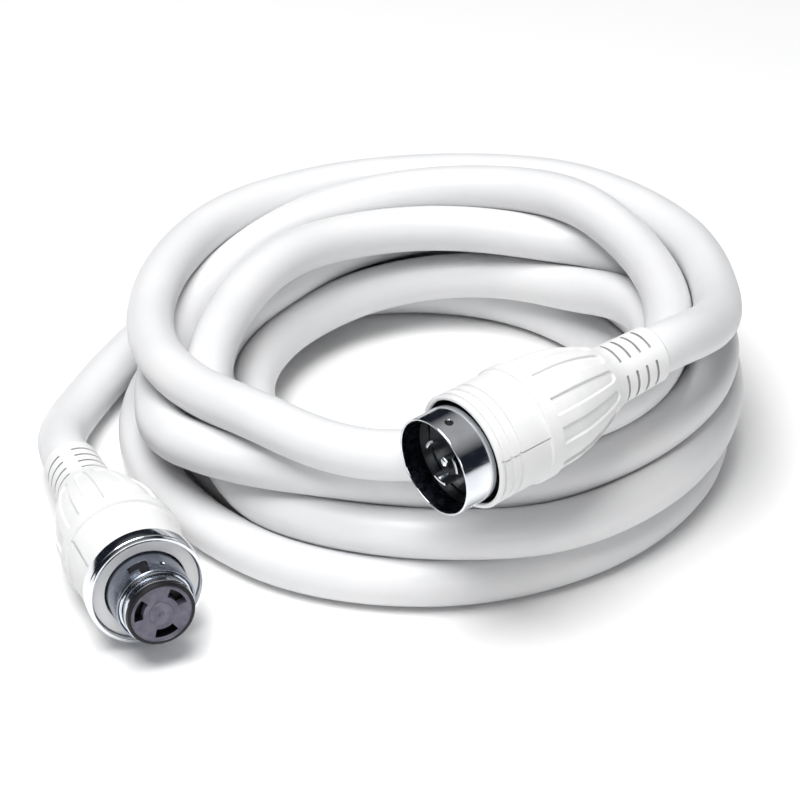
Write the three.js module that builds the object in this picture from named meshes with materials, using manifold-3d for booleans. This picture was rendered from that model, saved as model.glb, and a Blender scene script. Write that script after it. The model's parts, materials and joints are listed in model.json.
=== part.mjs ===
// A 50 A shore power cord for a boat or a recreational vehicle, lying coiled on the ground.
// It has a twist-lock plug on one end, and on the other a twist-lock connector with a coupling ring.
// Millimetres, +Z up. The coil is laid out round its own axis; the last lines of the file move the whole
// assembly so that its origin is the middle of the ground that the plug and the connector span.

import * as THREE from "three";
import { mergeVertices } from "three/addons/utils/BufferGeometryUtils.js";
import Module from "manifold-3d";

// ---- Driving dimensions ----

const CLEARANCE = 0.3; // between pieces that touch
const CABLE_RADIUS = 13.5;

const COIL = { inner: 104, outer: 178, height: 84, corner: 13, segments: 48 };

// Where each end piece starts, at the rear of its neck, and the way it points (coil axis at 0, 0).
const PLUG_TAIL = new THREE.Vector3(114, -116, 121.9);
const PLUG_HEADING = new THREE.Vector3(-0.79, -0.64, -0.07).normalize();
const CONNECTOR_TAIL = new THREE.Vector2(-198, -81);
const CONNECTOR_YAW = -67.7; // degrees from +X, in plan
const CONNECTOR_TILT = 2; // degrees that its nose points up: it lies on its band, its neck off the ground

// Along an end piece, from the rear of its neck. Radii are outside radii unless they say inner.
const NECK = { length: 27, rear: 15.6, front: 16.4, bore: 14.0, chamfer: 0.8 };
const TAPER = [[33, 17.4], [39, 19.8], [46, 23], [54, 26], [63, 28.6], [72, 30.3], [88, 31.2]];
const CAVITY_TAPER = [[30, 14], [37, 16], [46, 19.4], [54, 22.2], [63, 24.9], [80, 27.9]];
const BAND = { from: 88, to: 96, radius: 32.2 };
const GROOVE = { depth: 0.8, top: 0.7, bottom: 0.4 }; // half widths
const PLUG_GROOVES = [115.5, 121.1, 126.7];
const PLUG_BOOT = { front: 129.3, behindBand: 30.9, frontRadius: 31.2, mouth: 28.6, grooves: PLUG_GROOVES };
const CONNECTOR_BOOT = { front: 124.4, behindBand: 30.8, frontRadius: 30.8, mouth: 28.0, grooves: [] };
const SHROUD = { from: 100.3, to: 148, inner: 25.2, outer: 26.4 };
const DETENT = { radius: 2.0, at: 140, turn: 60 }; // the shroud's three round holes, between the blades
const CARRIER = { from: 104, to: 130, play: 0.5 }; // the plug's face
const CENTRE_PIN = { radius: 2.6, from: 105, shoulder: 140, tip: 142, end: 142.4 };
const SLEEVE = { from: 112.5, to: 149, inner: 20.0, outer: 21.2 };
const BAYONET = { from: 138, lockTo: 143, entryHalf: 7, lockHalf: 14, turn: 60 };
const NOSE = { from: 112, step: 149, to: 158, inSleeve: 19.6, tip: 18.3, edge: 0.8, pinHoleFrom: 140 };
const RING = { from: 125, to: 135, outer: 31.6, inner: 29.3, lip: 26.5, lipTo: 127.5, edge: 0.8 };
const FLANGE = { from: 128, to: 132, inner: 22.0, outer: 28.8 };
const BODY = { from: 68, wide: 80, plugTo: 100, connectorTo: 127.6 };
const BODY_OUTSIDE = { rear: 22.4, wide: 27.0, front: 27.4 };
const BODY_BORE = { rear: 19.2, front: 23.6 };
const SHOULDER = { at: 114, radius: 26.0, bore: 21.6, boreFrom: 108.5 }; // of the connector's body

const BLADE = { inner: 11.0, outer: 13.0, halfAngle: 21, from: 91, to: 143 };
const CONTACT = { inner: 11.6, outer: 12.8, halfAngle: 20, from: 91, to: 150 };
const SLOT = { inner: 9.6, outer: 14.2, halfAngle: 26 };
const POCKET_TURN = 1.5; // degrees that a blade's pocket is wider than the blade on each side
const POLES = [70, 190, 310]; // degrees round the connector's axis; the plug's are the mirror image
const GROUND_AT = 130;
const GROUND = { inner: 18.5, outer: 20.3, halfAngle: 14, from: 91, to: 99.6 };
const SCREW = { radius: 2.6, length: 5, at: 95.5 };
const WIRE = { radius: 3.3, start: 68, end: 89.5, packed: 7.2, steps: 7, sides: 8, spread: 0.12 };
const WIRE_START_ANGLES = [35, 215, 305]; // the ground wire starts at GROUND_START
const GROUND_START = 125;
const JACKET_END = { from: 0.6, to: 66, segments: 24 }; // the cable's jacket, up to where it is stripped
const CLAMP = { from: 54, to: 64, inner: 13.9, outer: 17.6, earOuter: 21.2, earThick: 3.6, gap: 1.2 };
const CLAMP_SCREW = { radius: 1.5, length: 11, outside: 1.6 };

const ROUND = 32; // segments round a large turned piece
const FINE = 40; // segments round the metal parts of the two faces
const SMALL = 12; // segments round a small one

// ---- Materials ----

const finish = (color, roughness, metalness = 0) => ({ color, roughness, metalness });
const WHITE_VINYL = finish(0xf3f3f1, 0.5);
const NICKEL = finish(0xd2d6db, 0.14, 1);
const BRASS = finish(0xc8a14c, 0.28, 1);
const STEEL = finish(0xb4b8bd, 0.3, 1);
const BLACK_NYLON = finish(0x121315, 0.35);
const GREY_PHENOLIC = finish(0x6f6b7c, 0.45);
const WIRE_FINISHES = [finish(0x17171a, 0.5), finish(0xb2201c, 0.5), finish(0xf0f0ec, 0.5)];
const WIRE_NAMES = ["black", "red", "white"];
const GREEN_WIRE = finish(0x1f7a3c, 0.5);

// ---- Solids ----

const wasm = await Module();
wasm.setup();

function toSolid(geometry) {
  const bare = geometry.clone();
  bare.deleteAttribute("normal");
  bare.deleteAttribute("uv");
  const merged = mergeVertices(bare, 1e-3);
  const vertProperties = merged.attributes.position.array;
  const triVerts = new Uint32Array(merged.index.array);
  return new wasm.Manifold(new wasm.Mesh({ numProp: 3, vertProperties, triVerts }));
}

function toGeometry(solid) {
  const mesh = solid.getMesh();
  const geometry = new THREE.BufferGeometry();
  geometry.setAttribute("position", new THREE.BufferAttribute(mesh.vertProperties, 3));
  geometry.setIndex(new THREE.BufferAttribute(mesh.triVerts, 1));
  geometry.computeVertexNormals();
  return geometry;
}

function cut(geometry, tools) {
  const solid = tools.reduce((rest, tool) => rest.subtract(toSolid(tool)), toSolid(geometry));
  return toGeometry(solid);
}

function join(pieces) {
  return toGeometry(pieces.map(toSolid).reduce((whole, piece) => whole.add(piece)));
}

// A turned piece from [distance along the axis, radius] pairs, closed on itself. The axis is Y.
function turned(profile, segments = ROUND) {
  const points = profile.map(([along, radius]) => new THREE.Vector2(radius, along));
  if (THREE.ShapeUtils.area(points) < 0) points.reverse();
  points.push(points[0].clone());
  return new THREE.LatheGeometry(points, segments);
}

const tube = (from, to, inner, outer, segments = ROUND) =>
  turned([[from, inner], [from, outer], [to, outer], [to, inner]], segments);

// A solid of revolution whose profile starts and ends on the axis.
function turnedSolid(profile, segments = SMALL) {
  const points = profile.map(([along, radius]) => new THREE.Vector2(radius, along));
  return new THREE.LatheGeometry(points, segments);
}

const rod = (from, to, radius, segments = SMALL) =>
  turnedSolid([[from, 0], [from, radius], [to, radius], [to, 0]], segments);

// Angles round an end piece's axis are degrees from its upper side.
const polar = (radius, degrees, along = 0) => {
  const angle = THREE.MathUtils.degToRad(degrees);
  return new THREE.Vector3(radius * Math.sin(angle), along, radius * Math.cos(angle));
};

// An arc-shaped strip, such as a blade, between two radii, from one distance to another along Y.
function strip({ inner, outer, halfAngle, from, to }, degrees, grow = 0) {
  const middle = THREE.MathUtils.degToRad(degrees - 90);
  const half = THREE.MathUtils.degToRad(halfAngle);
  const shape = new THREE.Shape();
  shape.absarc(0, 0, outer, middle - half, middle + half, false);
  shape.absarc(0, 0, inner, middle + half, middle - half, true);
  const options = { depth: to - from + 2 * grow, bevelEnabled: false, curveSegments: 5 };
  return new THREE.ExtrudeGeometry(shape, options).rotateX(-Math.PI / 2).translate(0, from - grow, 0);
}

// A rod that points outwards from the axis, from radius `from` to radius `to`.
function spoke(radius, from, to, degrees, along, segments = SMALL) {
  return rod(from, to, radius, segments)
    .rotateX(Math.PI / 2)
    .rotateY(THREE.MathUtils.degToRad(degrees))
    .translate(0, along, 0);
}

// A tube that follows points, with a polygon for its section.
function sweep(points, radius, sides, steps) {
  const shape = new THREE.Shape();
  for (let side = 0; side < sides; side++) {
    const angle = (2 * Math.PI * side) / sides;
    shape.lineTo(radius * Math.cos(angle), radius * Math.sin(angle));
  }
  shape.curves.shift(); // the first lineTo starts from the shape's own origin
  const extrudePath = new THREE.CatmullRomCurve3(points, false, "centripetal");
  return new THREE.ExtrudeGeometry(shape, { steps, extrudePath, bevelEnabled: false });
}

// ---- Pieces that both ends have ----

function addMesh(group, name, geometry, look) {
  const mesh = new THREE.Mesh(geometry, new THREE.MeshStandardMaterial(look));
  mesh.name = name;
  group.add(mesh);
}

const neckAndTaper = [
  [0, NECK.rear - NECK.chamfer], [NECK.chamfer, NECK.rear], [NECK.length, NECK.front], ...TAPER,
  [BAND.from, BAND.radius], [BAND.to, BAND.radius],
];
const cavity = [[0, NECK.bore], ...CAVITY_TAPER];

function bootGeometry({ front, behindBand, frontRadius, mouth, grooves }) {
  const slope = (frontRadius - behindBand) / (front - BAND.to);
  const surface = (along) => behindBand + slope * (along - BAND.to);
  const { depth, top, bottom } = GROOVE;
  const ridged = grooves.flatMap((at) => [
    [at - top, surface(at)], [at - bottom, surface(at) - depth],
    [at + bottom, surface(at) - depth], [at + top, surface(at)],
  ]);
  const lip = [[front - 1, frontRadius], [front, frontRadius - 1], [front, mouth]];
  return turned([...neckAndTaper, [BAND.to, behindBand], ...ridged, ...lip, ...cavity.toReversed()]);
}

// The rear part of an end piece's hard body: a cup round its terminals.
const cupOutside = [[BODY.from, BODY_OUTSIDE.rear], [BODY.wide, BODY_OUTSIDE.wide]];
const cupInside = [[BODY.wide, BODY_BORE.front], [BODY.from, BODY_BORE.rear]];

function addClamp(group, prefix) {
  const { from, to, inner, outer, earOuter, earThick, gap } = CLAMP;
  const middle = (from + to) / 2;
  const screwAt = outer + CLAMP_SCREW.outside;
  const upright = (radius, length, x) =>
    new THREE.CylinderGeometry(radius, radius, length, SMALL).rotateX(Math.PI / 2).translate(x, middle, 0);
  const holes = [-1, 1].map((side) => upright(CLAMP_SCREW.radius + CLEARANCE, 2 * outer, side * screwAt));
  for (const [name, side] of [["upper", 1], ["lower", -1]]) {
    const ears = new THREE.BoxGeometry(2 * earOuter, to - from, earThick)
      .translate(0, middle, side * (gap + earThick) / 2);
    const keep = new THREE.BoxGeometry(4 * outer, 4 * to, 2 * outer)
      .translate(0, 0, side * (outer + gap / 2));
    const halfRod = toSolid(rod(from, to, outer, ROUND)).intersect(toSolid(keep));
    const bore = rod(from - 1, to + 1, inner, ROUND);
    const half = cut(toGeometry(halfRod.add(toSolid(ears))), [bore, ...holes]);
    addMesh(group, `${prefix}_clamp_${name}`, half, BLACK_NYLON);
  }
  for (const [name, side] of [["left", -1], ["right", 1]]) {
    const screw = upright(CLAMP_SCREW.radius, CLAMP_SCREW.length, side * screwAt);
    addMesh(group, `${prefix}_clamp_screw_${name}`, screw, STEEL);
  }
}

function wireGeometry(startAngle, endAngle, endRadius) {
  const start = polar(WIRE.packed, startAngle, WIRE.start);
  const end = polar(endRadius, endAngle, WIRE.end);
  const third = (WIRE.end - WIRE.start) / 3;
  const leave = start.clone().setY(WIRE.start + third);
  const arrive = end.clone().setY(WIRE.end - third);
  leave.lerp(arrive, WIRE.spread).setY(WIRE.start + third);
  return sweep([start, leave, arrive, end], WIRE.radius, WIRE.sides, WIRE.steps);
}

// Terminals, wires, clamp and the jacket's end. `mirror` is -1 in the plug, 1 in the connector.
function addWiring(group, prefix, mirror, contact, contactName) {
  const middleOf = ({ inner, outer }) => (inner + outer) / 2;
  POLES.forEach((pole, index) => {
    const name = WIRE_NAMES[index];
    const at = mirror * pole;
    addMesh(group, `${prefix}_${contactName}_${name}`, strip(contact, at), NICKEL);
    const [head, tip] = [contact.outer + CLEARANCE, contact.outer + SCREW.length];
    const screw = spoke(SCREW.radius, head, tip, at, SCREW.at);
    addMesh(group, `${prefix}_terminal_screw_${name}`, screw, STEEL);
    const wire = wireGeometry(mirror * WIRE_START_ANGLES[index], at, middleOf(contact));
    addMesh(group, `${prefix}_wire_${name}`, wire, WIRE_FINISHES[index]);
  });
  const at = mirror * GROUND_AT;
  addMesh(group, `${prefix}_ground_terminal`, strip(GROUND, at), BRASS);
  const screw = spoke(SCREW.radius, GROUND.inner - SCREW.length, GROUND.inner - CLEARANCE, at, SCREW.at);
  addMesh(group, `${prefix}_terminal_screw_green`, screw, STEEL);
  const wire = wireGeometry(mirror * GROUND_START, at, middleOf(GROUND));
  addMesh(group, `${prefix}_wire_green`, wire, GREEN_WIRE);
  const jacket = rod(JACKET_END.from, JACKET_END.to, CABLE_RADIUS, JACKET_END.segments);
  addMesh(group, `${prefix}_jacket_end`, jacket, WHITE_VINYL);
  addClamp(group, prefix);
}

// ---- The plug ----

function makePlug() {
  const plug = new THREE.Group();
  addMesh(plug, "plug_boot", bootGeometry(PLUG_BOOT), WHITE_VINYL);
  const rim = [[BODY.plugTo, BODY_OUTSIDE.front], [BODY.plugTo, BODY_BORE.front]];
  addMesh(plug, "plug_body", turned([...cupOutside, ...rim, ...cupInside]), BLACK_NYLON);

  const detents = POLES.map((pole) =>
    spoke(DETENT.radius, SHROUD.inner - 5, SHROUD.outer + 5, DETENT.turn - pole, DETENT.at));
  const shroud = cut(tube(SHROUD.from, SHROUD.to, SHROUD.inner, SHROUD.outer, FINE), detents);
  addMesh(plug, "plug_shroud", shroud, NICKEL);

  const pocket = {
    ...BLADE,
    inner: BLADE.inner - CLEARANCE,
    outer: BLADE.outer + CLEARANCE,
    halfAngle: BLADE.halfAngle + POCKET_TURN,
  };
  const pockets = POLES.map((pole) => strip(pocket, -pole));
  const pinHole = rod(CARRIER.from - 1, CARRIER.to + 1, CENTRE_PIN.radius + CLEARANCE);
  const blank = rod(CARRIER.from, CARRIER.to, SHROUD.inner - CARRIER.play, FINE);
  addMesh(plug, "plug_insulator", cut(blank, [...pockets, pinHole]), BLACK_NYLON);
  const { radius, from, shoulder, tip, end } = CENTRE_PIN;
  const pin = turnedSolid([[from, 0], [from, radius], [shoulder, radius], [tip, radius / 2], [end, 0]]);
  addMesh(plug, "plug_centre_pin", pin, NICKEL);
  addWiring(plug, "plug", -1, BLADE, "blade");
  return plug;
}

// ---- The connector ----

// The bayonet slot of the sleeve: straight back from its front edge, then round to one side.
function bayonetSlot(degrees) {
  const wall = { inner: SLEEVE.inner - 1, outer: SLEEVE.outer + 1, from: BAYONET.from };
  const entry = strip({ ...wall, halfAngle: BAYONET.entryHalf, to: SLEEVE.to + 1 }, degrees);
  const turned = { ...wall, halfAngle: BAYONET.lockHalf, to: BAYONET.lockTo };
  const lock = strip(turned, degrees + BAYONET.entryHalf);
  return join([entry, lock]);
}

function makeConnector() {
  const connector = new THREE.Group();
  addMesh(connector, "connector_boot", bootGeometry(CONNECTOR_BOOT), WHITE_VINYL);
  const body = turned([
    ...cupOutside, [SHOULDER.at, BODY_OUTSIDE.wide], [SHOULDER.at, SHOULDER.radius],
    [BODY.connectorTo, SHOULDER.radius], [BODY.connectorTo, SHOULDER.bore],
    [SHOULDER.boreFrom, SHOULDER.bore], [SHOULDER.boreFrom, BODY_BORE.front], ...cupInside,
  ]);
  addMesh(connector, "connector_body", body, BLACK_NYLON);

  const slots = POLES.map((pole) => bayonetSlot(pole + BAYONET.turn));
  const sleeve = cut(tube(SLEEVE.from, SLEEVE.to, SLEEVE.inner, SLEEVE.outer, FINE), slots);
  addMesh(connector, "connector_sleeve", sleeve, NICKEL);

  const blank = turnedSolid([
    [NOSE.from, 0], [NOSE.from, NOSE.inSleeve], [NOSE.step, NOSE.inSleeve], [NOSE.step, NOSE.tip],
    [NOSE.to - NOSE.edge, NOSE.tip], [NOSE.to, NOSE.tip - NOSE.edge], [NOSE.to, 0],
  ], FINE);
  const through = { ...SLOT, from: NOSE.from - 1, to: NOSE.to + 1 };
  const contactSlots = POLES.map((pole) => strip(through, pole));
  const pinHole = rod(NOSE.pinHoleFrom, NOSE.to + 1, CENTRE_PIN.radius + CLEARANCE);
  addMesh(connector, "connector_insulator", cut(blank, [...contactSlots, pinHole]), GREY_PHENOLIC);
  const flange = tube(FLANGE.from, FLANGE.to, FLANGE.inner, FLANGE.outer, FINE);
  addMesh(connector, "connector_flange_seal", flange, WHITE_VINYL);

  const { edge } = RING;
  const ring = turned([
    [RING.from, RING.lip], [RING.from, RING.outer - edge], [RING.from + edge, RING.outer],
    [RING.to - edge, RING.outer], [RING.to, RING.outer - edge], [RING.to, RING.inner],
    [RING.lipTo, RING.inner], [RING.lipTo, RING.lip],
  ], FINE);
  addMesh(connector, "connector_coupling_ring", ring, NICKEL);
  addWiring(connector, "connector", 1, CONTACT, "contact");
  return connector;
}

// ---- The cord ----

function makeCoil() {
  const { inner, outer, height, corner, segments } = COIL;
  const profile = [];
  for (const [x, z, turn] of [[outer, 0, -90], [outer, height, 0], [inner, height, 90], [inner, 0, 180]]) {
    const centreX = x === outer ? x - corner : x + corner;
    const centreZ = z === 0 ? corner : z - corner;
    for (let degrees = 0; degrees <= 90; degrees += 30) {
      const angle = THREE.MathUtils.degToRad(turn + degrees);
      profile.push([centreZ + corner * Math.sin(angle), centreX + corner * Math.cos(angle)]);
    }
  }
  return turned(profile, segments).rotateX(Math.PI / 2);
}

// The stretch from the connector down to the ground beside the coil.
const LEAD_ROUTE = [[-207.8, -51.3, 24.5], [-209.3, -33.9, 20.3], [-207.1, -13.1, 16.3], [-201.4, 5.2, 14.2]];
// The stretch that rises off the coil's top and turns into the plug.
const TOP_ROUTE = [
  [40, 155, 98], [80, 138, 98], [113, 111, 98], [138, 77, 98], [151, 38, 98.5], [156, 0, 101.5],
  [156, -38, 106.5], [154, -57.5, 110.5], [147.4, -77.3, 115.5], [136.5, -95, 119.8],
];
const CORD_SIDES = 10;
const CORD_STEPS = { lead: 5, top: 13 };
const toVectors = (points) => points.map(([x, y, z]) => new THREE.Vector3(x, y, z));

// ---- Assembly ----

// Turns and moves an end piece so that its axis runs along `heading` from `tail`.
function place(group, tail, heading) {
  const up = new THREE.Vector3(0, 0, 1).addScaledVector(heading, -heading.z).normalize();
  const across = new THREE.Vector3().crossVectors(heading, up);
  group.quaternion.setFromRotationMatrix(new THREE.Matrix4().makeBasis(across, heading, up));
  group.position.copy(tail);
  group.updateMatrixWorld(true);
}

const plug = makePlug();
place(plug, PLUG_TAIL, PLUG_HEADING);

// The connector lies on the ground on its widest band.
const connector = makeConnector();
const tilt = THREE.MathUtils.degToRad(CONNECTOR_TILT);
const yaw = THREE.MathUtils.degToRad(CONNECTOR_YAW);
const connectorHeading = new THREE.Vector3(
  Math.cos(yaw) * Math.cos(tilt), Math.sin(yaw) * Math.cos(tilt), Math.sin(tilt),
);
place(connector, new THREE.Vector3(CONNECTOR_TAIL.x, CONNECTOR_TAIL.y, BAND.radius), connectorHeading);
connector.position.z -= new THREE.Box3().setFromObject(connector, true).min.z;
connector.updateMatrixWorld(true);

const cord = new THREE.Group();
// The cord leaves each neck straight, and its end face meets the neck's.
const leaving = (group, heading) =>
  [CLEARANCE, 10].map((distance) => group.position.clone().addScaledVector(heading, -distance));
addMesh(cord, "cord_coil", makeCoil(), WHITE_VINYL);
const leadPoints = [...leaving(connector, connectorHeading), ...toVectors(LEAD_ROUTE)];
const lead = sweep(leadPoints, CABLE_RADIUS, CORD_SIDES, CORD_STEPS.lead);
addMesh(cord, "cord_lead", lead, WHITE_VINYL);
const topPoints = [...toVectors(TOP_ROUTE), ...leaving(plug, PLUG_HEADING).toReversed()];
const topTurn = sweep(topPoints, CABLE_RADIUS, CORD_SIDES, CORD_STEPS.top);
addMesh(cord, "cord_top_turn", topTurn, WHITE_VINYL);

// The origin is the middle of the box that the two end pieces span, on the ground.
const assembly = new THREE.Group();
assembly.add(plug, connector);
const span = new THREE.Box3().setFromObject(assembly, true);
const centre = span.getCenter(new THREE.Vector3());
assembly.add(cord);
assembly.position.set(-centre.x, -centre.y, 0);

const group = new THREE.Group();
group.add(assembly);

export default group;
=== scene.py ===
# A white 50 A shore power cord lying coiled on a pale floor: the cable, the twist-lock plug on
# top of the coil, and the connector on the floor beside it. Blender's units are metres; the end
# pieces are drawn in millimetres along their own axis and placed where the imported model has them.
import json
import math

import bmesh
import bpy
import numpy as np
from mathutils import Matrix, Vector


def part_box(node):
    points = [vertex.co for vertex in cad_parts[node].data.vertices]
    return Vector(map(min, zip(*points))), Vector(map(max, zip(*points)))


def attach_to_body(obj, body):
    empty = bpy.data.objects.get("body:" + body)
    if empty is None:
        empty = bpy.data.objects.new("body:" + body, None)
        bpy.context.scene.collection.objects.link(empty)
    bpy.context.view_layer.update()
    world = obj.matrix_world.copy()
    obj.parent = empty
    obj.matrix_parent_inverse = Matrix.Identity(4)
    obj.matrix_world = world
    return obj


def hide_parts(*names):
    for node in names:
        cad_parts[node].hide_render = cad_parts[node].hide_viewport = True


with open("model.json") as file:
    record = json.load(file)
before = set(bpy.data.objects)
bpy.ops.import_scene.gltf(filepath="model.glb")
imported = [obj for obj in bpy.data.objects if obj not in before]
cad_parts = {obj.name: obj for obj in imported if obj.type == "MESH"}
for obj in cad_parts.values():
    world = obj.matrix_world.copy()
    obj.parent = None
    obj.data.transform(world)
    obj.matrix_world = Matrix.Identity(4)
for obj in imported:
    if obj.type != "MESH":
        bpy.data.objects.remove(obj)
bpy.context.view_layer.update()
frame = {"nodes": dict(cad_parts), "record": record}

MM = 0.001

# ---- Driving dimensions ----

# The camera and the cable, in metres and degrees.
CAMERA = {"elevation": 32.0, "distance": 1.70, "lens": 133.1}
CAMERA_AIM = (-0.01724, 0.0, 0.02095)  # from the coil's axis
CABLE_RADIUS = 0.0135
LIGHTS_AIM = (0.0, -0.03, 0.05)  # from the coil's axis
LIGHTS = {  # where from, seen from the coil, in metres; the lamp's sides; watts
    "key": ((-0.45, -0.55, 2.5), (1.7, 1.7), 88.0),
    "front": ((0.5, -2.4, 0.9), (0.9, 0.7), 11.0),
}
DOME_STRENGTH = 0.40

# Along an end piece, in millimetres from the rear of its neck; radii are outside radii.
NECK_AND_TAPER = [
    (0.0, 14.9), (0.8, 15.6), (27.0, 16.4), (30.0, 16.7), (33.0, 17.4), (36.0, 18.4), (39.0, 19.8),
    (46.0, 23.0), (54.0, 26.0), (63.0, 28.6), (72.0, 30.3), (88.0, 31.2),
]
CAVITY = [
    (80.0, 27.9), (63.0, 24.9), (54.0, 22.2), (46.0, 19.4), (37.0, 16.0), (30.0, 14.0), (0.0, 14.0),
]
BAND = {"start": 88.0, "end": 96.0, "radius": 32.2}
PLUG_SHELL = {  # turn and seam are the angles of its ribs and of its parting line, in degrees
    "front": 129.3, "behind": 30.9, "radius": 31.2, "mouth": 28.6, "grooves": (115.5, 121.1, 126.7),
    "turn": -50.0, "seam": -75.0,
}
CONNECTOR_SHELL = {
    "front": 124.4, "behind": 30.8, "radius": 30.8, "mouth": 28.0, "grooves": (),
    "turn": 20.0, "seam": 62.0,
}
LIP = {"outside": 1.6, "inside": 0.5, "straight": 8.0}  # its two rounded edges and the bore behind
GROOVE = {"half": 0.8, "depth": 1.3}
NECK_SLOTS = {"at": (9.0, 16.0, 23.0, 30.0), "width": 1.4, "depth": 1.4, "ribs": 4, "rib": 27.0}
FLUTES = {"count": 12, "start": 40.0, "end": 87.6, "width": 17.0, "depth": 1.3}
SEAM = {"width": 0.5, "depth": 0.6, "step": 0.25}
POLES = (70.0, 190.0, 310.0)  # degrees round the connector's axis; the plug's are the mirror image
JACKET_MIDDLE = 33.3  # of the cable's end inside a boot
BOOT_STEPS = [  # from, to and how far apart the rings of the mesh are there
    (0.0, 6.0, 1.0), (6.0, 33.0, 0.2), (33.0, 38.0, 0.8), (38.0, 47.0, 0.45), (47.0, 85.0, 1.1),
    (85.0, 98.0, 0.25),
]
FINE_SECTORS = 480  # round a piece that has small relief
SHROUD = {"start": 100.3, "end": 148.0, "inner": 25.2, "outer": 26.4}
DETENT = {"at": 140.0, "turn": 60.0, "radius": 2.0, "depth": 0.9}
PLUG_FACE = {"start": 104.0, "at": 130.0, "radius": 24.7, "pit": 3.0, "collar": 5.0}
BLADE = {"inner": 11.0, "outer": 13.0, "half": 21.0, "start": 91.0, "end": 143.0}
PIN = {"radius": 2.6, "start": 105.0, "end": 142.0}
SLEEVE = {"start": 112.5, "end": 149.0, "inner": 20.0, "outer": 21.2}
BAYONET = {"start": 138.0, "lock": 143.0, "half": 7.0, "lock_half": 14.0, "turn": 60.0, "depth": 0.9}
DIMPLE = {"at": 143.0, "turn": 28.0, "radius": 1.5, "depth": 0.6}
NOSE = {
    "start": 112.0, "step": 149.0, "end": 158.0, "wide": 19.6, "tip": 18.3, "rim": 16.2,
    "bright_to": 155.4,
}
NOSE_FACE = {
    "sunk": 0.9, "boss": 6.4, "boss_up": 0.6, "hole": 1.4, "hole_depth": 0.7, "slot_depth": 6.0,
}
SLOT = {"inner": 9.6, "outer": 14.2, "half": 26.0}
RING = {"start": 125.0, "end": 135.0, "outer": 31.6, "inner": 29.3, "lip": 26.5, "lip_end": 127.5}
SEAL = {"start": 128.0, "end": 132.0, "inner": 22.0, "outer": 28.8}

# The plug and the connector as cones that the cable lies against: from, to and the radius at each.
PLUG_CONES = [
    (24.0, 38.0, 16.5, 19.5), (46.0, 72.0, 23.3, 30.6), (72.0, 129.0, 31.5, 31.5),
    (129.0, 148.0, 26.6, 26.6),
]
CONNECTOR_CONES = [(24.0, 72.0, 16.8, 31.0), (88.0, 135.0, 32.5, 32.0)]

# How the cable settles. Lengths are in metres, the rest are shares of a correction in each round.
SETTLE = {
    "rounds": 400, "stiffness": 0.6, "sink": 0.00002, "clearance": 0.0003, "floor_gap": 0.0001,
    "push": 0.25, "push_off_ends": 0.7, "pull": 0.175, "pulls": 2,
    "hold": 0.007, "hold_at_ends": 0.0015, "first_points": 14, "last_points": 18,
    "own_neighbours": 3.2,  # diameters along the cable within which it can't touch itself
}

# The cable's route, in metres round the coil's axis: off the connector to the floor, round the
# coil, and off its top into the plug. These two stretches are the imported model's own; it has a
# longer one at the top, which the last turn below stands for.
LEAD_ROUTE = [
    (-0.2078, -0.0513, 0.0245), (-0.2093, -0.0339, 0.0203), (-0.2071, -0.0131, 0.0163),
    (-0.2014, 0.0052, 0.0142),
]
TOP_ROUTE = [
    (0.156, -0.038, 0.1065), (0.154, -0.0575, 0.1105), (0.1474, -0.0773, 0.1155),
    (0.1365, -0.095, 0.1198),
]
NECK_POINTS = (-4.0, 3.0, 10.0)  # how far behind a neck's rear the cable is straight, in millimetres
# The turns of the coil, clockwise seen from above: (angle in degrees, radius, height) stations.
# Each turn's angles fall from 180 at the left to 90 at the back, 0 at the right and -90 in front.
TURNS = [
    [(180, 0.178, 0.0137), (90, 0.168, 0.0137), (0, 0.158, 0.0137), (-90, 0.166, 0.0137)],
    [(180, 0.165, 0.0137), (90, 0.138, 0.0137), (0, 0.133, 0.0137), (-90, 0.139, 0.0137)],
    [(180, 0.133, 0.0137), (90, 0.161, 0.0400), (0, 0.135, 0.0400), (-90, 0.128, 0.0400)],
    [(180, 0.105, 0.0290), (90, 0.119, 0.0360), (0, 0.130, 0.0620), (-90, 0.118, 0.0440)],
    [(180, 0.127, 0.0380), (90, 0.141, 0.0580), (0, 0.164, 0.0400), (-90, 0.160, 0.0395),
     (-135, 0.149, 0.0400)],
    [(180, 0.119, 0.0660), (90, 0.118, 0.0720), (0, 0.160, 0.0680), (-90, 0.146, 0.0610),
     (-135, 0.155, 0.0560)],
    [(180, 0.153, 0.0460), (90, 0.141, 0.0840), (0, 0.131, 0.0920), (-60, 0.155, 0.0880),
     (-109, 0.158, 0.0860), (-135, 0.151, 0.0810)],
    [(206, 0.149, 0.0760), (180, 0.159, 0.0740), (135, 0.166, 0.0770), (90, 0.167, 0.0810),
     (45, 0.164, 0.0900), (0, 0.157, 0.0985)],
]
POINTS_PER_STATION = 30
LEAD_JOINS_AT = 10  # the point of the first turn where the lead comes in

# ---- The frame ----


def middle_of(node):
    low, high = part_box(node)
    return (Vector(low) + Vector(high)) / 2


def end_frame(prefix, face):
    """The matrix of an end piece: Y along its axis from the rear of its neck, Z up, millimetres."""
    mount = next(m for m in frame["record"]["mounts"] if m["name"] == face)
    axis = Vector(mount["axis"]).normalized()
    tail = middle_of(f"{prefix}_jacket_end") - axis * JACKET_MIDDLE * MM
    up = (Vector((0, 0, 1)) - axis * axis.z).normalized()
    turn = Matrix((axis.cross(up), axis, up)).transposed().to_4x4()
    return Matrix.Translation(tail) @ turn @ Matrix.Scale(MM, 4)


PLUG = end_frame("plug", "plug_face")
CONNECTOR = end_frame("connector", "connector_face")
COIL_AXIS = Vector((*middle_of("cord_coil").xy, 0.0))

# ---- Camera ----


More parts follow.
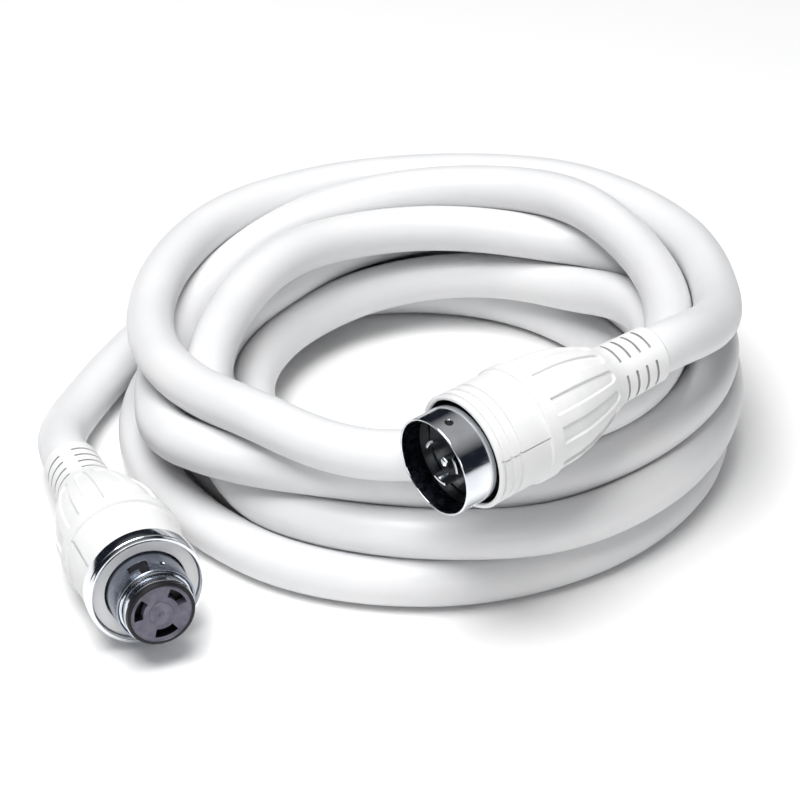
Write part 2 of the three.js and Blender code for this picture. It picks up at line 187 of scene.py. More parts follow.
def make_camera():
    data = bpy.data.cameras.new("camera")
    data.lens = CAMERA["lens"]
    data.sensor_width = 36.0
    camera = bpy.data.objects.new("camera", data)
    rise = math.radians(CAMERA["elevation"])
    back = Vector((0.0, -math.cos(rise), math.sin(rise)))
    camera.location = COIL_AXIS + Vector(CAMERA_AIM) + back * CAMERA["distance"]
    camera.rotation_euler = back.to_track_quat("Z", "Y").to_euler()
    bpy.context.scene.collection.objects.link(camera)
    bpy.context.scene.camera = camera


# ---- Materials ----


def new_material(name, colour, roughness, metallic=0.0, specular=0.5, coat=0.0):
    """A material with its plain finish set; its colour and bump are added by the functions below."""
    material = bpy.data.materials.new(name)
    material.use_nodes = True
    shader = material.node_tree.nodes["Principled BSDF"]
    shader.inputs["Base Color"].default_value = (*colour, 1.0)
    shader.inputs["Roughness"].default_value = roughness
    shader.inputs["Metallic"].default_value = metallic
    shader.inputs["Specular IOR Level"].default_value = specular
    shader.inputs["Coat Weight"].default_value = coat
    return material


def add_noise(material, scale, detail, stretch=(1.0, 1.0, 1.0)):
    """A noise node over the object's own coordinates; scale is per metre."""
    nodes, links = material.node_tree.nodes, material.node_tree.links
    place = nodes.new("ShaderNodeTexCoord")
    turn = nodes.new("ShaderNodeMapping")
    turn.inputs["Scale"].default_value = stretch
    noise = nodes.new("ShaderNodeTexNoise")
    noise.inputs["Scale"].default_value = scale
    noise.inputs["Detail"].default_value = detail
    links.new(place.outputs["Object"], turn.inputs["Vector"])
    links.new(turn.outputs["Vector"], noise.inputs["Vector"])
    return noise.outputs["Fac"]


def vary_colour(material, fac, dark, light):
    nodes, links = material.node_tree.nodes, material.node_tree.links
    ramp = nodes.new("ShaderNodeValToRGB")
    ramp.color_ramp.elements[0].position = 0.35
    ramp.color_ramp.elements[0].color = (*dark, 1.0)
    ramp.color_ramp.elements[1].position = 0.65
    ramp.color_ramp.elements[1].color = (*light, 1.0)
    links.new(fac, ramp.inputs["Fac"])
    links.new(ramp.outputs["Color"], nodes["Principled BSDF"].inputs["Base Color"])


def vary_roughness(material, fac, low, high):
    nodes, links = material.node_tree.nodes, material.node_tree.links
    spread = nodes.new("ShaderNodeMapRange")
    spread.inputs["From Min"].default_value = 0.3
    spread.inputs["From Max"].default_value = 0.7
    spread.inputs["To Min"].default_value = low
    spread.inputs["To Max"].default_value = high
    links.new(fac, spread.inputs["Value"])
    links.new(spread.outputs["Result"], nodes["Principled BSDF"].inputs["Roughness"])


def add_bump(material, fac, strength, distance):
    nodes, links = material.node_tree.nodes, material.node_tree.links
    bump = nodes.new("ShaderNodeBump")
    bump.inputs["Strength"].default_value = strength
    bump.inputs["Distance"].default_value = distance
    links.new(fac, bump.inputs["Height"])
    links.new(bump.outputs["Normal"], nodes["Principled BSDF"].inputs["Normal"])


def jacket_material():
    """Extruded white PVC: a satin skin, faintly uneven along its length."""
    material = new_material("white_jacket", (0.80, 0.80, 0.80), 0.38, specular=0.45)
    vary_colour(material, add_noise(material, 14.0, 3.0), (0.70, 0.705, 0.715), (0.75, 0.75, 0.755))
    vary_roughness(material, add_noise(material, 60.0, 4.0), 0.33, 0.45)
    add_bump(material, add_noise(material, 420.0, 3.0), 0.12, 0.0002)
    return material


def vinyl_material():
    """Moulded white vinyl, a little duller than the cable, with a fine spark-eroded texture."""
    material = new_material("white_vinyl", (0.84, 0.84, 0.835), 0.45, specular=0.4)
    vary_colour(material, add_noise(material, 25.0, 3.0), (0.75, 0.752, 0.755), (0.80, 0.80, 0.798))
    vary_roughness(material, add_noise(material, 90.0, 4.0), 0.40, 0.52)
    add_bump(material, add_noise(material, 1400.0, 2.0), 0.15, 0.0001)
    return material


def nickel_material():
    """Bright plating: nearly a mirror, with a soft haze and faint polishing streaks."""
    material = new_material("nickel_plate", (0.78, 0.80, 0.83), 0.12, metallic=1.0)
    vary_colour(material, add_noise(material, 60.0, 3.0), (0.72, 0.745, 0.785), (0.82, 0.835, 0.86))
    vary_roughness(material, add_noise(material, 150.0, 4.0, (1.0, 1.0, 6.0)), 0.07, 0.19)
    add_bump(material, add_noise(material, 900.0, 2.0), 0.05, 0.00005)
    return material


def metal_material(name, dark, light, roughness):
    """Brass or zinc-plated steel: slightly mottled, with a fine turned grain."""
    material = new_material(name, light, roughness, metallic=1.0)
    vary_colour(material, add_noise(material, 120.0, 4.0), dark, light)
    vary_roughness(material, add_noise(material, 300.0, 3.0), roughness - 0.08, roughness + 0.1)
    add_bump(material, add_noise(material, 1500.0, 2.0), 0.1, 0.00005)
    return material


def plastic_material(name, dark, light, roughness, specular=0.5):
    """A moulded plastic or a wire's insulation."""
    material = new_material(name, light, roughness, specular=specular)
    vary_colour(material, add_noise(material, 180.0, 4.0), dark, light)
    vary_roughness(material, add_noise(material, 250.0, 3.0), roughness - 0.06, roughness + 0.08)
    add_bump(material, add_noise(material, 1800.0, 2.0), 0.12, 0.00006)
    return material


JACKET = jacket_material()
VINYL = vinyl_material()
# grey vinyl for the floors of the neck slots and the parting line: painted shade in the grooves
GROOVE_SHADE = plastic_material("vinyl_painted_groove_shade", (0.30, 0.30, 0.30), (0.40, 0.40, 0.40), 0.6)
NICKEL = nickel_material()
BRASS = metal_material("brass", (0.56, 0.38, 0.13), (0.72, 0.52, 0.20), 0.28)
STEEL = metal_material("steel", (0.45, 0.46, 0.48), (0.62, 0.63, 0.65), 0.32)
# a darker copy of the nickel for the connector's sleeve: painted shade, with a slightly rougher finish
SLEEVE_NICKEL_PAINTED_SHADE = metal_material("dull_nickel_painted_shade", (0.26, 0.29, 0.35), (0.40, 0.43, 0.50), 0.2)
# near-black nickel for the inside walls of the shroud and the sleeve: painted shade
INNER_WALL_SHADE = metal_material("nickel_painted_inner_shade", (0.035, 0.04, 0.055), (0.06, 0.065, 0.085), 0.26)
NYLON = plastic_material("black_nylon", (0.004, 0.004, 0.006), (0.008, 0.008, 0.011), 0.42, 0.3)
PHENOLIC = plastic_material("grey_phenolic", (0.085, 0.08, 0.115), (0.15, 0.14, 0.19), 0.38)
WIRES = {
    "black": plastic_material("black_wire", (0.012, 0.012, 0.013), (0.02, 0.02, 0.022), 0.4),
    "red": plastic_material("red_wire", (0.42, 0.02, 0.015), (0.55, 0.03, 0.02), 0.4),
    "white": plastic_material("white_wire", (0.72, 0.72, 0.70), (0.80, 0.80, 0.78), 0.4),
    "green": plastic_material("green_wire", (0.02, 0.20, 0.05), (0.03, 0.28, 0.07), 0.4),
}

# ---- Mesh helpers ----


def finish_mesh(name, mesh, materials, sharp=32.0):
    mesh.validate()
    for material in materials:
        mesh.materials.append(material)
    mesh.shade_smooth()
    mesh.set_sharp_from_angle(angle=math.radians(sharp))
    piece = bpy.data.objects.new(name, mesh)
    bpy.context.scene.collection.objects.link(piece)
    return piece


def ring_mesh(name, matrix, along, radius, materials, sectors=128, part=0):
    """A closed surface of revolution about Y from its closed profile: distances along Y and radii.

    Each may be one number for a profile point, or a row of numbers, one for each sector. part
    gives the material's number in the same way, or once for the whole piece."""
    count = len(radius)
    columns = [np.reshape(values, (count, -1)) for values in (along, radius)]
    part = np.reshape(part, (count, -1)) if np.ndim(part) else np.full((count, 1), part)
    sectors = max([sectors] if columns[0].shape[1] == columns[1].shape[1] == 1 else
                  [column.shape[1] for column in columns])
    y, radius, part = [np.broadcast_to(column, (count, sectors)) for column in (*columns, part)]
    angle = np.arange(sectors) * 2 * math.pi / sectors
    points = np.stack([radius * np.sin(angle), y, radius * np.cos(angle)], axis=2).reshape(-1, 3)
    turn = np.array(matrix)
    points = points @ turn[:3, :3].T + turn[:3, 3]
    here = np.arange(count * sectors).reshape(count, sectors)
    after = np.roll(here, -1, axis=0)
    corners = (here, np.roll(here, -1, axis=1), np.roll(after, -1, axis=1), after)
    faces = np.stack(corners, axis=2).reshape(-1, 4)
    mesh = bpy.data.meshes.new(name)
    mesh.from_pydata(points.tolist(), [], faces.tolist())
    mesh.polygons.foreach_set("material_index", part.reshape(-1).astype(np.int32))
    return finish_mesh(name, mesh, materials)


def rounded(profile, radius, steps=3):
    """The closed profile with each sharp corner turned into a small arc of that radius."""
    result = []
    count = len(profile)
    for i, (u, r) in enumerate(profile):
        here = np.array((u, r), float)
        before = np.array(profile[i - 1], float) - here
        after = np.array(profile[(i + 1) % count], float) - here
        reach = min(radius, np.linalg.norm(before) * 0.45, np.linalg.norm(after) * 0.45)
        start = here + before / np.linalg.norm(before) * reach
        end = here + after / np.linalg.norm(after) * reach
        for step in range(steps + 1):
            t = step / steps
            result.append(tuple((1 - t) ** 2 * start + 2 * t * (1 - t) * here + t ** 2 * end))
    return result


def turned(name, matrix, profile, materials, fillet=0.3, sectors=128):
    """A turned piece from its closed profile of (distance, radius) pairs, with its edges eased."""
    points = rounded(profile, fillet)
    if signed_area(points) < 0:
        points.reverse()
    return ring_mesh(name, matrix, [p[0] for p in points], [p[1] for p in points], materials, sectors)


def signed_area(points):
    total = 0.0
    for (u0, r0), (u1, r1) in zip(points, points[1:] + points[:1]):
        total += u0 * r1 - u1 * r0
    return total


# ---- The cable ----


def catmull(points, per_step):
    """Points on the smooth curve through the given ones, per_step for each gap."""
    points = np.asarray(points, float)
    padded = np.vstack([2 * points[0] - points[1], points, 2 * points[-1] - points[-2]])
    curve = []
    for i in range(1, len(padded) - 2):
        a, b, c, d = padded[i - 1:i + 3]
        for step in range(per_step):
            t = step / per_step
            curve.append(0.5 * (2 * b + (c - a) * t + (2 * a - 5 * b + 4 * c - d) * t ** 2
                                + (3 * b - 3 * c + d - a) * t ** 3))
    curve.append(padded[-2])
    return np.array(curve)


def evenly(points, gap):
    """The same line with its points a fixed gap apart."""
    lengths = np.linalg.norm(np.diff(points, axis=0), axis=1)
    travelled = np.concatenate([[0.0], np.cumsum(lengths)])
    count = int(round(travelled[-1] / gap))
    wanted = np.linspace(0.0, travelled[-1], count + 1)
    return np.stack([np.interp(wanted, travelled, points[:, k]) for k in range(3)], axis=1)


def coil_turns():
    """The turns of the coil before it settles: clockwise seen from above, from the left."""
    corners = []
    for number, turn in enumerate(TURNS):
        for degrees, radius, height in turn:
            corners.append((math.radians(degrees - 360.0 * number), radius, height))
    dense = catmull(corners, POINTS_PER_STATION)
    angle, radius, height = dense.T
    return np.stack([radius * np.cos(angle), radius * np.sin(angle), height], axis=1)


def leave_neck(matrix):
    """Where the cable passes on its way out of a neck, straight back along the end piece's axis."""
    return [matrix @ Vector((0.0, -back, 0.0)) - COIL_AXIS for back in NECK_POINTS]


def settle(line, gap):
    """Lets the cable lie: stiff, near its own length, above the floor and off the end pieces.

    Strands closer than a diameter are pushed apart, but a little overlap can be left."""
    home = line.copy()
    count = len(line)
    first, second = np.triu_indices(count, int(SETTLE["own_neighbours"] * 2 * CABLE_RADIUS / gap))
    touch = 2 * CABLE_RADIUS + SETTLE["clearance"]
    held = [0, 1, count - 2, count - 1]
    solids = end_piece_cones()
    hold = np.full((count, 1), SETTLE["hold"])
    hold[:SETTLE["first_points"]] = hold[-SETTLE["last_points"]:] = SETTLE["hold_at_ends"]
    for _ in range(SETTLE["rounds"]):
        bend = np.zeros_like(line)
        bend[2:-2] = (4 * (line[1:-3] + line[3:-1]) - line[:-4] - line[4:]) / 6 - line[2:-2]
        line = line + SETTLE["stiffness"] * bend + hold * (home - line)
        line[:, 2] -= SETTLE["sink"]
        apart = line[second] - line[first]
        near = np.abs(apart).max(axis=1) < touch
        apart, one, other = apart[near], first[near], second[near]
        distance = np.linalg.norm(apart, axis=1)
        overlap = np.clip(touch - distance, 0.0, None)
        push = (SETTLE["push"] * overlap / distance)[:, None] * apart
        np.add.at(line, one, -push)
        np.add.at(line, other, push)
        for start, end, wide_start, wide_end in solids:
            along = end - start
            share = np.clip((line - start) @ along / (along @ along), 0.0, 1.0)
            out = line - (start + share[:, None] * along)
            distance = np.linalg.norm(out, axis=1)
            need = wide_start + (wide_end - wide_start) * share + CABLE_RADIUS + SETTLE["clearance"]
            lift = SETTLE["push_off_ends"] * np.clip(need - distance, 0.0, None)
            line += out / distance[:, None] * lift[:, None]
        line[:, 2] = np.maximum(line[:, 2], CABLE_RADIUS + SETTLE["floor_gap"])
        for _ in range(SETTLE["pulls"]):
            step = np.diff(line, axis=0)
            length = np.linalg.norm(step, axis=1)
            pull = step / length[:, None] * (SETTLE["pull"] * (length - gap))[:, None]
            line[:-1] += pull
            line[1:] -= pull
        line[held] = home[held]
    return line


def end_piece_cones():
    """The cones of both end pieces where they stand: the ends of their axes and the radii."""
    cones = []
    for matrix, stretches in ((PLUG, PLUG_CONES), (CONNECTOR, CONNECTOR_CONES)):
        for start, end, wide_start, wide_end in stretches:
            ends = [np.array(matrix @ Vector((0.0, u, 0.0)) - COIL_AXIS) for u in (start, end)]
            cones.append((*ends, wide_start * MM, wide_end * MM))
    return cones


def cable_route():
    """The middle of the cable from the connector's neck to the plug's, a point every 3 mm."""
    turns = coil_turns()
    lead = catmull([*leave_neck(CONNECTOR), *LEAD_ROUTE, turns[LEAD_JOINS_AT]], 12)
    lead[:, 2] = np.maximum(lead[:, 2], CABLE_RADIUS + 0.0002)
    top = catmull([turns[-1], *TOP_ROUTE, *reversed(leave_neck(PLUG))], 12)
    rough = evenly(np.vstack([lead[:-1], turns[LEAD_JOINS_AT:-1], top]), CABLE_RADIUS)
    gap = np.linalg.norm(np.diff(rough, axis=0), axis=1).mean()
    return evenly(catmull(settle(rough, gap), 5), 0.003) + np.array(COIL_AXIS)


def make_cable():
    route = cable_route()
    curve = bpy.data.curves.new("cable", "CURVE")
    curve.dimensions = "3D"
    curve.bevel_depth = CABLE_RADIUS
    curve.bevel_resolution = 10
    curve.use_fill_caps = True
    spline = curve.splines.new("POLY")
    spline.points.add(len(route) - 1)
    for point, place in zip(spline.points, route):
        point.co = (*place, 1.0)
    spline.use_smooth = True
    curve.materials.append(JACKET)
    cable = bpy.data.objects.new("cable", curve)
    bpy.context.scene.collection.objects.link(cable)
    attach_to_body(cable, "cord_set")
    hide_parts("cord_coil", "cord_lead", "cord_top_turn")
    length = float(np.linalg.norm(np.diff(route, axis=0), axis=1).sum())
    return cable, length


# ---- Boots ----


def smooth_edge(distance, edge):
    """1 inside, 0 outside, easing over the edge's width; distance is measured inwards."""
    t = np.clip(distance / edge + 0.5, 0.0, 1.0)
    return t * t * (3 - 2 * t)


def outside_radius(u, shell):
    taper_u, taper_r = zip(*NECK_AND_TAPER)
    radius = np.interp(u, taper_u, taper_r)
    slope = (shell["radius"] - shell["behind"]) / (shell["front"] - BAND["end"])
    ahead = shell["behind"] + slope * (u - BAND["end"])
    radius = np.where(u > BAND["end"], ahead, radius)
    on_band = smooth_edge(np.minimum(u - BAND["start"], BAND["end"] - u), 0.5)
    return radius + on_band * (BAND["radius"] - radius)


def wrapped(angle, period):
    """The angle's distance from the nearest whole multiple of the period."""
    return np.abs((angle + period / 2) % period - period / 2)


def boot_radius(u, degrees, shell):
    """The radius of a boot's outside at each distance and angle, and where its slots and seam take a
    painted shade.
    """
    turn, seam_at = shell["turn"], shell["seam"]
    radius = outside_radius(u, shell) + 0 * degrees
    # where the painted groove shade goes, none yet
    groove_shade = radius < 0
    arc = np.radians(1.0) * radius
    # the slots that let the neck bend, broken by solid ribs
    ribs = NECK_SLOTS["ribs"]
    from_rib = (wrapped(degrees - turn, 360.0 / ribs) - NECK_SLOTS["rib"] / 2) * arc
    for at in NECK_SLOTS["at"]:
        inside = np.minimum(NECK_SLOTS["width"] / 2 - np.abs(u - at), from_rib)
        radius = radius - NECK_SLOTS["depth"] * smooth_edge(inside, 0.35)
        groove_shade = groove_shade | (inside > 0.1)
    # the grip flutes along the taper, with round ends
    half = FLUTES["width"] / 2 * arc
    across = wrapped(degrees - turn, 360.0 / FLUTES["count"]) * arc
    past_end = np.maximum(FLUTES["start"] + half - u, 0.0)
    inside = half - np.hypot(across, past_end)
    inside = np.minimum(inside, FLUTES["end"] - u)
    radius = radius - FLUTES["depth"] * smooth_edge(inside, 0.7)
    # the grooves behind the mouth
    for at in shell["grooves"]:
        radius = radius - GROOVE["depth"] * smooth_edge(GROOVE["half"] - np.abs(u - at), 0.4)
    # the mould's parting line, a fine groove with a slight step at it
    beyond = smooth_edge(u - BAND["end"], 0.4)
    for seam in (seam_at, seam_at + 180.0):
        off = wrapped(degrees - seam, 360.0) * arc
        radius = radius - beyond * SEAM["depth"] * smooth_edge(SEAM["width"] / 2 - off, 0.4)
        # the parting line's groove takes the painted shade too
        groove_shade = groove_shade | ((off < SEAM["width"] / 2) & (beyond > 0.5))
    under = np.sin(np.radians(degrees - seam_at)) < 0
    radius = radius - beyond * SEAM["step"] * under
    return radius, groove_shade


def boot_stations(shell):
    """Distances along the outside, close together where the detail is fine."""
    parts = list(BOOT_STEPS)
    start = BOOT_STEPS[-1][1]
    if shell["grooves"]:
        first, last = shell["grooves"][0] - 2.0, shell["grooves"][-1] + 2.0
        parts += [(start, first, 1.5), (first, last, 0.25)]
        start = last
    parts += [(start, shell["front"] - LIP["outside"], 1.2)]
    return np.concatenate([np.arange(a, b, step) for a, b, step in parts])


def make_boot(name, matrix, shell, node):
    """A boot with its outside in relief and its bore behind it, as one closed surface."""
    degrees = np.arange(FINE_SECTORS) * 360.0 / FINE_SECTORS
    u = boot_stations(shell)
    outside, groove_shade = boot_radius(u[:, None], degrees[None, :], shell)
    front, rim, mouth = shell["front"], shell["radius"], shell["mouth"]
    big, small = LIP["outside"], LIP["inside"]
    turns = np.radians(np.linspace(0, 90, 6))
    lip = [(front - big + big * math.sin(t), rim - big + big * math.cos(t)) for t in turns]
    lip += [(front - small + small * math.cos(t), mouth + small - small * math.sin(t)) for t in turns]
    inner = [(front - 2.0, mouth), (front - LIP["straight"], mouth), *CAVITY]
    rest = np.array(lip + inner)
    along = np.concatenate([u, rest[:, 0]])
    radius = np.vstack([outside, np.repeat(rest[:, 1:], FINE_SECTORS, axis=1)])
    # the bore behind the lip takes the black nylon: painted shade in the recess round the shroud
    inside_part = np.array([0] * (len(lip) + 1) + [2] * (len(inner) - 1))
    part = np.vstack([groove_shade, np.repeat(inside_part[:, None], FINE_SECTORS, axis=1)]).astype(int)
    boot = ring_mesh(name, matrix, along[::-1], radius[::-1], [VINYL, GROOVE_SHADE, NYLON], part=part[::-1])
    attach(boot, "cord_set", node)


# ---- The metal and the faces of the two ends ----


def attach(piece, body, node):
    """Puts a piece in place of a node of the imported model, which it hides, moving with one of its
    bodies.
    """
    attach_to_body(piece, body)
    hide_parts(node)
    return piece


def sleeve_mesh(name, matrix, wall, dents, fine_from, materials):
    """A thin tube with rolled edges; dents takes (distance, degrees) and gives the depth cut."""
    degrees = np.arange(FINE_SECTORS) * 360.0 / FINE_SECTORS
    start, end, inner, outer = (wall[key] for key in ("start", "end", "inner", "outer"))
    plain = np.linspace(start + 0.5, fine_from, 12)
    u = np.concatenate([plain, np.arange(fine_from + 0.2, end - 0.5, 0.2)])
    cut = dents(u[:, None], degrees[None, :])
    turns = np.linspace(0, math.pi, 9)
    middle, half = (inner + outer) / 2, (outer - inner) / 2
    front = [(end - half + half * math.sin(t), middle + half * math.cos(t)) for t in turns]
    rest = np.array([*front, (fine_from, inner), (start, inner), (start, outer - 0.3)])
    along = np.concatenate([u, rest[:, 0]])
    radius = np.vstack([outer - cut, np.repeat(rest[:, 1:], FINE_SECTORS, axis=1)])
    # the floors of deep dents take the black nylon: painted shade in the detents, bayonet slots and
    # dimples
    part = np.vstack([cut > 0.5 * cut.max(), np.zeros((len(rest), FINE_SECTORS), bool)]).astype(int)
    # the inside wall takes the third material, a painted shade
    part[len(u) + len(front) - 1:-2] = 2
    return ring_mesh(name, matrix, along[::-1], radius[::-1], materials, part=part[::-1])


def faced_mesh(name, matrix, side, face_at, materials, plated=(0, 0)):
    """A solid turned piece with its front face in relief; side runs from the rear to the face.

    plated gives the range of the side's points that take the third material."""
    degrees = np.arange(FINE_SECTORS) * 360.0 / FINE_SECTORS
    edge = side[-1][1]
    radii = np.linspace(edge, 0.05, int(edge / 0.16))
    front, front_part = face_at(radii[:, None], degrees[None, :])
    rear = np.array([(side[0][0], 0.05), *side])
    along = np.vstack([np.repeat(rear[:, :1], FINE_SECTORS, axis=1), front])
    radius = np.concatenate([rear[:, 1], radii])
    part = np.vstack([np.zeros((len(rear), FINE_SECTORS), int), front_part])
    part[plated[0] + 1:plated[1] + 1] = 2
    return ring_mesh(name, matrix, along[::-1], radius[::-1], materials, part=part[::-1])


def in_arc(radius, degrees, arc, at, grow=0.0):
    """How far inside a curved slot or strip a place on a face is, in millimetres."""
    middle, half_width = (arc["inner"] + arc["outer"]) / 2, (arc["outer"] - arc["inner"]) / 2
    along = (arc["half"] - wrapped(degrees - at, 360.0)) * np.radians(1.0) * radius
    return np.minimum(half_width - np.abs(radius - middle), along) + grow


def arc_bar(name, matrix, bar, degrees, material):
    """A curved bar, such as a blade, with its front edges eased."""
    middle, half = math.radians(degrees), math.radians(bar["half"])
    per_side = 13
    loops = []
    for back, inset in ((bar["end"] - bar["start"], 0.0), (0.8, 0.0), (0.25, 0.15), (0.0, 0.45)):
        inner, outer = bar["inner"] + inset, bar["outer"] - inset
        turns = np.linspace(-half + inset / outer, half - inset / outer, per_side)
        for radius, turn in [(outer, t) for t in turns] + [(inner, t) for t in turns[::-1]]:
            place = (radius * math.sin(middle + turn), bar["end"] - back, radius * math.cos(middle + turn))
            loops.append(matrix @ Vector(place))
    size = 2 * per_side
    faces = []
    for first in range(0, len(loops) - size, size):
        for k in range(size):
            m = (k + 1) % size
            faces.append((first + k, first + m, first + size + m, first + size + k))
    for first, order in ((0, 1), (len(loops) - size, -1)):
        for k in range(per_side - 1):
            cap = (first + k, first + size - 1 - k, first + size - 2 - k, first + k + 1)
            faces.append(cap[::order])
    mesh = bpy.data.meshes.new(name)
    mesh.from_pydata(loops, [], faces)
    shape = bmesh.new()
    shape.from_mesh(mesh)
    bmesh.ops.recalc_face_normals(shape, faces=shape.faces)
    shape.to_mesh(mesh)
    shape.free()
    return finish_mesh(name, mesh, [material], 24.0)


def make_plug_parts():
    def detents(u, degrees):
        cut = 0 * u * degrees
        for pole in POLES:
            off = wrapped(degrees - DETENT["turn"] + pole, 360.0) * np.radians(1.0) * SHROUD["outer"]
            inside = DETENT["radius"] - np.hypot(u - DETENT["at"], off)
            cut = cut + DETENT["depth"] * smooth_edge(inside, 0.3)
        return cut

    def face(radius, degrees):
        pit = 0 * radius * degrees
        for pole in POLES:
            pit = np.maximum(pit, smooth_edge(in_arc(radius, degrees, BLADE, -pole, 0.5), 0.25))
        collar = smooth_edge(PLUG_FACE["collar"] - radius, 0.4) - smooth_edge(3.1 - radius, 0.3) * 3
        along = PLUG_FACE["at"] - PLUG_FACE["pit"] * pit + 0.5 * collar
        return along, 0 * pit.astype(int)

    shroud = sleeve_mesh("plug_shroud_skin", PLUG, SHROUD, detents, 136.0, [NICKEL, NYLON, INNER_WALL_SHADE])
    attach(shroud, "cord_set", "plug_shroud")
    back, at, wide = PLUG_FACE["start"], PLUG_FACE["at"], PLUG_FACE["radius"]
    side = [(back, wide), (at - 0.5, wide), (at, wide - 0.5)]
    carrier = faced_mesh("plug_face", PLUG, side, face, [NYLON])
    attach(carrier, "cord_set", "plug_insulator")
    for pole, colour in zip(POLES, ("black", "red", "white")):
        blade = arc_bar(f"plug_blade_{colour}_skin", PLUG, BLADE, -pole, NICKEL)
        attach(blade, "cord_set", f"plug_blade_{colour}")
    back, tip, wide = PIN["start"], PIN["end"], PIN["radius"]
    profile = [(back, 0.05), (back, wide), (tip - 1.6, wide), (tip - 0.5, wide * 0.8), (tip, wide * 0.45),
               (tip + 0.2, 0.05)]
    pin = turned("plug_pin", PLUG, profile, [NICKEL], 0.4, 48)
    attach(pin, "cord_set", "plug_centre_pin")


def make_connector_parts():
    def bayonets(u, degrees):
        cut = 0 * u * degrees
        arc = np.radians(1.0) * SLEEVE["outer"]
        for pole in POLES:
            centre = pole + BAYONET["turn"]
            entry = np.minimum(BAYONET["half"] - wrapped(degrees - centre, 360.0), 90) * arc
            entry = np.minimum(entry, u - BAYONET["start"])
            lock = (BAYONET["lock_half"] - wrapped(degrees - centre - BAYONET["half"], 360.0)) * arc
            lock = np.minimum(lock, np.minimum(u - BAYONET["start"], BAYONET["lock"] - u))
            cut = np.maximum(cut, BAYONET["depth"] * smooth_edge(np.maximum(entry, lock), 0.3))
            off = wrapped(degrees - centre + DIMPLE["turn"], 360.0) * arc
            inside = DIMPLE["radius"] - np.hypot(u - DIMPLE["at"], off)
            cut = np.maximum(cut, DIMPLE["depth"] * smooth_edge(inside, 0.8))
        return cut

    def face(radius, degrees):
        sunk = smooth_edge(NOSE["rim"] - radius, 0.3)
        boss = smooth_edge(NOSE_FACE["boss"] - radius, 0.4)
        dent = smooth_edge(NOSE_FACE["hole"] - radius, 0.8)
        pit = 0 * radius * degrees
        for pole in POLES:
            pit = np.maximum(pit, smooth_edge(in_arc(radius, degrees, SLOT, pole), 0.25))
        along = NOSE["end"] - NOSE_FACE["sunk"] * sunk + NOSE_FACE["boss_up"] * boss
        # the outer rim is black nylon of its own; the slots take it too, as painted shade down them
        part = np.where((pit < 0.3) & (sunk > 0.5), 1, 0)
        return along - NOSE_FACE["slot_depth"] * pit - NOSE_FACE["hole_depth"] * dent, part

    metals = [SLEEVE_NICKEL_PAINTED_SHADE, NYLON, INNER_WALL_SHADE]
    sleeve = sleeve_mesh("connector_sleeve_skin", CONNECTOR, SLEEVE, bayonets, 136.5, metals)
    attach(sleeve, "cord_set", "connector_sleeve")
    tip, bright = NOSE["tip"], NOSE["bright_to"]
    side = [
        (NOSE["start"], NOSE["wide"]), (NOSE["step"] - 0.4, NOSE["wide"]),
        (NOSE["step"], NOSE["wide"] - 0.4), (NOSE["step"], tip + 0.5), (bright - 0.3, tip + 0.5),
        (bright, tip + 0.2), (bright, tip), (NOSE["end"] - 0.9, tip), (NOSE["end"] - 0.3, tip - 0.25),
        (NOSE["end"], tip - 0.9),
    ]
    nose = faced_mesh("connector_nose", CONNECTOR, side, face, [NYLON, PHENOLIC, NICKEL], (2, 7))
    attach(nose, "cord_set", "connector_insulator")
    start, end, inner, outer = (SEAL[key] for key in ("start", "end", "inner", "outer"))
    profile = [(start, inner), (start, outer), (end, outer), (end, inner)]
    seal = turned("connector_seal", CONNECTOR, profile, [VINYL], 0.7)
    attach(seal, "cord_set", "connector_flange_seal")
    profile = [
        (RING["start"], RING["lip"]), (RING["start"], RING["outer"]), (RING["end"] - 3.0, RING["outer"]),
        (RING["end"] - 2.6, RING["outer"] - 0.35), (RING["end"], RING["outer"] - 0.35),
        (RING["end"], RING["inner"]), (RING["lip_end"], RING["inner"]), (RING["lip_end"], RING["lip"]),
    ]
    ring = turned("connector_ring", CONNECTOR, profile, [NICKEL], 0.6, 160)
    attach(ring, "coupling_ring", "connector_coupling_ring")


# ---- Build ----

make_camera()
cable, cable_length = make_cable()
make_boot("plug_boot_skin", PLUG, PLUG_SHELL, "plug_boot")
make_boot("connector_boot_skin", CONNECTOR, CONNECTOR_SHELL, "connector_boot")
make_plug_parts()
make_connector_parts()


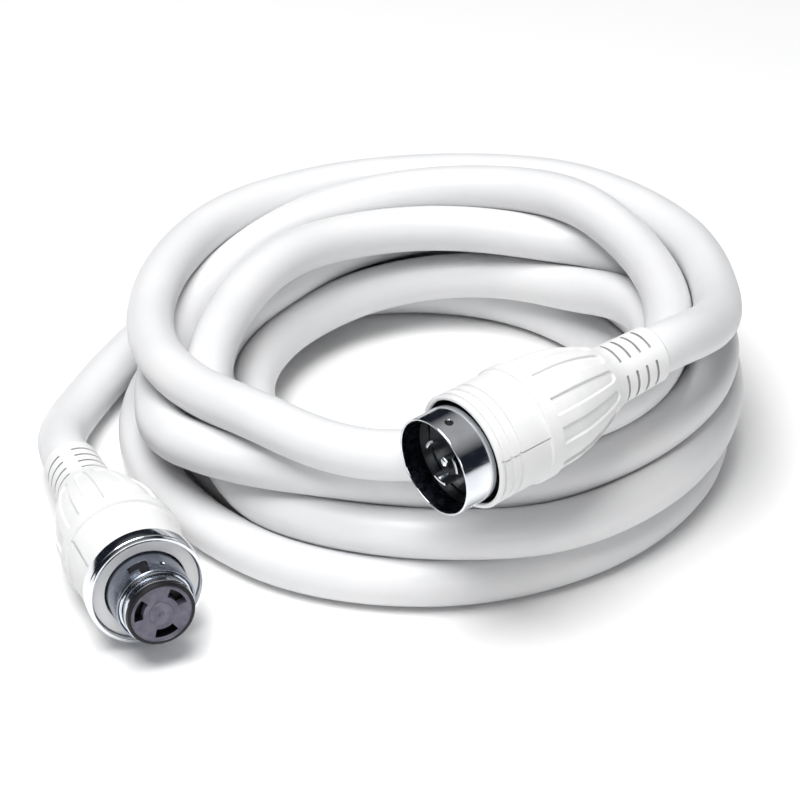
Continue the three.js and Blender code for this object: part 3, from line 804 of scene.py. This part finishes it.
def dress_nodes():
    """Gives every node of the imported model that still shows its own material."""
    looks = {
        "jacket_end": JACKET, "centre_pin": NICKEL, "shroud": NICKEL, "sleeve": NICKEL,
        "coupling_ring": NICKEL, "ground_terminal": BRASS, "flange_seal": VINYL, "body": NYLON,
        "clamp_upper": NYLON, "clamp_lower": NYLON, "clamp_screw": STEEL, "terminal_screw": STEEL,
        "blade": NICKEL, "contact": NICKEL, "plug_insulator": NYLON, "connector_insulator": PHENOLIC,
    }
    looks.update({f"wire_{colour}": material for colour, material in WIRES.items()})
    for name, piece in frame["nodes"].items():
        for word, material in looks.items():
            if word in name:
                piece.data.materials.clear()
                piece.data.materials.append(material)


dress_nodes()


def make_floor():
    mesh = bpy.data.meshes.new("floor")
    shape = bmesh.new()
    bmesh.ops.create_grid(shape, x_segments=4, y_segments=4, size=6.0)
    shape.to_mesh(mesh)
    shape.free()
    floor = bpy.data.objects.new("floor", mesh)
    material = new_material("floor", (0.9, 0.9, 0.9), 0.6, specular=0.2)
    mesh.materials.append(material)
    bpy.context.scene.collection.objects.link(floor)


def add_light(name, place, aim, size, power):
    data = bpy.data.lights.new(name, "AREA")
    data.shape = "RECTANGLE"
    data.size, data.size_y = size
    data.energy = power
    lamp = bpy.data.objects.new(name, data)
    lamp.location = place
    lamp.rotation_euler = (Vector(place) - Vector(aim)).to_track_quat("Z", "Y").to_euler()
    bpy.context.scene.collection.objects.link(lamp)


def make_world():
    """A studio dome: dark towards the horizon and bright overhead, so metal shows contrast."""
    world = bpy.data.worlds.new("studio")
    world.use_nodes = True
    nodes, links = world.node_tree.nodes, world.node_tree.links
    place = nodes.new("ShaderNodeTexCoord")
    axes = nodes.new("ShaderNodeSeparateXYZ")
    ramp = nodes.new("ShaderNodeValToRGB")
    ramp.color_ramp.elements[0].position = 0.50
    ramp.color_ramp.elements[0].color = (0.030, 0.036, 0.055, 1.0)
    ramp.color_ramp.elements[1].position = 0.85
    ramp.color_ramp.elements[1].color = (1.0, 1.0, 1.0, 1.0)
    links.new(place.outputs["Generated"], axes.inputs["Vector"])
    links.new(axes.outputs["Z"], ramp.inputs["Fac"])
    links.new(ramp.outputs["Color"], nodes["Background"].inputs["Color"])
    nodes["Background"].inputs["Strength"].default_value = DOME_STRENGTH
    bpy.context.scene.world = world


def make_lights():
    aim = COIL_AXIS + Vector(LIGHTS_AIM)
    for name, (place, size, power) in LIGHTS.items():
        add_light(name, aim + Vector(place), aim, size, power)
    make_world()
    bpy.context.scene.view_settings.view_transform = "Standard"


make_floor()
make_lights()
